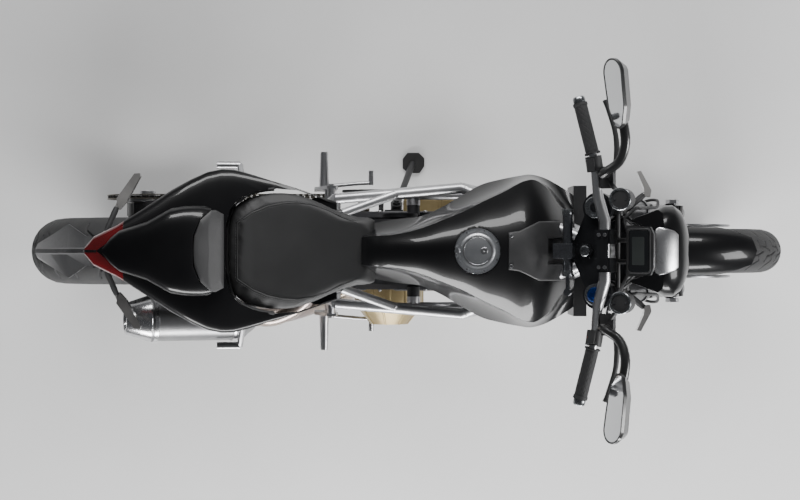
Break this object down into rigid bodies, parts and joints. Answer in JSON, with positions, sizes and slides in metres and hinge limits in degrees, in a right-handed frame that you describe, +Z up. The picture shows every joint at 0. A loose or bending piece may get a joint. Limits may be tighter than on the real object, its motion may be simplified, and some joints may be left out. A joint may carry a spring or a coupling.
{
  "type": "motorcycle",
  "caption": "Naked sport motorcycle with a trellis frame, twin-cylinder engine, chain drive and stacked mufflers, leaning on its side stand.",
  "frame": {"origin": "on the ground under the centre of the whole machine's box, parked on its side stand", "axes": "+X forward along the machine, +Y to the rider's left (the side it leans to), +Z up"},
  "size_m": [2.0948, 0.8898, 1.1938],
  "materials": {
    "frame": "satin metallic paint",
    "subframe": "satin black paint",
    "crankcase": "cast, dark grey paint",
    "cylinders": "cast, dark grey paint",
    "engine_covers": "cast, bronze paint",
    "sprocket_cover": "moulded matt",
    "radiator": "matt black paint",
    "exhaust_pipes": "heat tinted",
    "mufflers": "dark brushed with bright caps",
    "airbox": "moulded matt",
    "fuel_tank": "gloss black",
    "tank_cover": "textured matt",
    "cap_ring": "machined",
    "rider_seat": "matt grained cover",
    "tail_fairing": "gloss black",
    "tail_light": "clear red lens",
    "passenger_cowl": "gloss black",
    "seat_pad": "fine grain",
    "plate_bracket": "moulded satin",
    "rear_indicators": "smoked clear lens",
    "footrests": "cast and knurled",
    "foot_levers": "satin",
    "stand_bracket": "black paint",
    "swingarm": "black paint",
    "shock": "anodised",
    "shock_spring": "red paint",
    "rear_caliper": "anodised",
    "rear_hugger": "moulded satin",
    "chain": "oiled steel",
    "steering_damper": "anodised",
    "triple_clamps": "black anodised",
    "fork_tubes": "black anodised",
    "fork_sliders": "dark coated",
    "front_axle_shaft": "ground",
    "front_calipers": "anodised",
    "front_fender": "gloss black",
    "handlebar": "bead blasted",
    "grips": "ribbed",
    "controls": "moulded with anodised levers",
    "brake_hoses": "smooth sheath",
    "mirrors": "moulded satin",
    "mirror_glass": "silvered",
    "lamp_bracket": "black paint",
    "headlight_shell": "gloss black",
    "headlight_lens": "clear",
    "instrument": "clear face over a dark screen",
    "front_indicators": "smoked clear lens",
    "front_tyre": "treaded",
    "front_wheel": "black paint",
    "front_discs": "ground",
    "rear_tyre": "treaded",
    "rear_wheel": "black paint",
    "rear_disc": "ground",
    "rear_axle_shaft": "ground",
    "rear_sprocket": "satin",
    "side_stand": "black paint",
    "fuel_cap": "machined"
  },
  "bodies": {
    "chassis": {"frame": "frame", "subframe": "subframe", "crankcase": "crankcase", "cylinders": "cylinders", "engine_covers": "engine_covers", "sprocket_cover": "sprocket_cover", "radiator": "radiator", "exhaust_pipes": "exhaust_pipes", "mufflers": "mufflers", "airbox": "airbox", "fuel_tank": "fuel_tank", "tank_cover": "tank_cover", "cap_ring": "cap_ring", "rider_seat": "rider_seat", "tail_fairing": "tail_fairing", "tail_light": "tail_light", "passenger_cowl": "passenger_cowl", "seat_pad": "seat_pad", "plate_bracket": "plate_bracket", "rear_indicators": "rear_indicators", "footrests": "footrests", "foot_levers": "foot_levers", "stand_bracket": "stand_bracket", "swingarm": "swingarm", "shock": "shock", "shock_spring": "shock_spring", "rear_caliper": "rear_caliper", "rear_hugger": "rear_hugger", "chain": "chain", "steering_damper": "steering_damper"},
    "front_end": {"triple_clamps": "triple_clamps", "fork_tubes": "fork_tubes", "fork_sliders": "fork_sliders", "front_axle_shaft": "front_axle_shaft", "front_calipers": "front_calipers", "front_fender": "front_fender", "handlebar": "handlebar", "grips": "grips", "controls": "controls", "brake_hoses": "brake_hoses", "mirrors": "mirrors", "mirror_glass": "mirror_glass", "lamp_bracket": "lamp_bracket", "headlight_shell": "headlight_shell", "headlight_lens": "headlight_lens", "instrument": "instrument", "front_indicators": "front_indicators"},
    "front_wheel_set": {"front_tyre": "front_tyre", "front_wheel": "front_wheel", "front_discs": "front_discs"},
    "rear_wheel_set": {"rear_tyre": "rear_tyre", "rear_wheel": "rear_wheel", "rear_disc": "rear_disc", "rear_axle_shaft": "rear_axle_shaft", "rear_sprocket": "rear_sprocket"},
    "stand_leg": {"side_stand": "side_stand"},
    "cap_lid": {"fuel_cap": "fuel_cap"}
  },
  "joints": [
    {"name": "steering", "type": "hinge", "parent": "chassis", "child": "front_end", "pos_m": [0.47795, -0.04806, 0.82377], "axis": [-0.4067, 0.1665, 0.8982], "range_deg": [-27, 27]},
    {"name": "front_wheel_spin", "type": "hinge", "parent": "front_end", "child": "front_wheel_set", "pos_m": [0.7475, -0.14588, 0.29599], "axis": [0, 0.9833, -0.1822], "continuous": true},
    {"name": "rear_wheel_spin", "type": "hinge", "parent": "chassis", "child": "rear_wheel_set", "pos_m": [-0.7275, -0.14214, 0.31615], "axis": [0, 0.9833, -0.1822], "continuous": true},
    {"name": "side_stand_fold", "type": "hinge", "parent": "chassis", "child": "stand_leg", "pos_m": [-0.03, -0.03178, 0.20925], "axis": [0, 0.9064, 0.4224], "range_deg": [0, 100]},
    {"name": "fuel_cap_hinge", "type": "hinge", "parent": "chassis", "child": "cap_lid", "pos_m": [0.123, -0.02856, 0.92901], "axis": [0, -0.9833, 0.1822], "range_deg": [0, 100]}
  ]
}
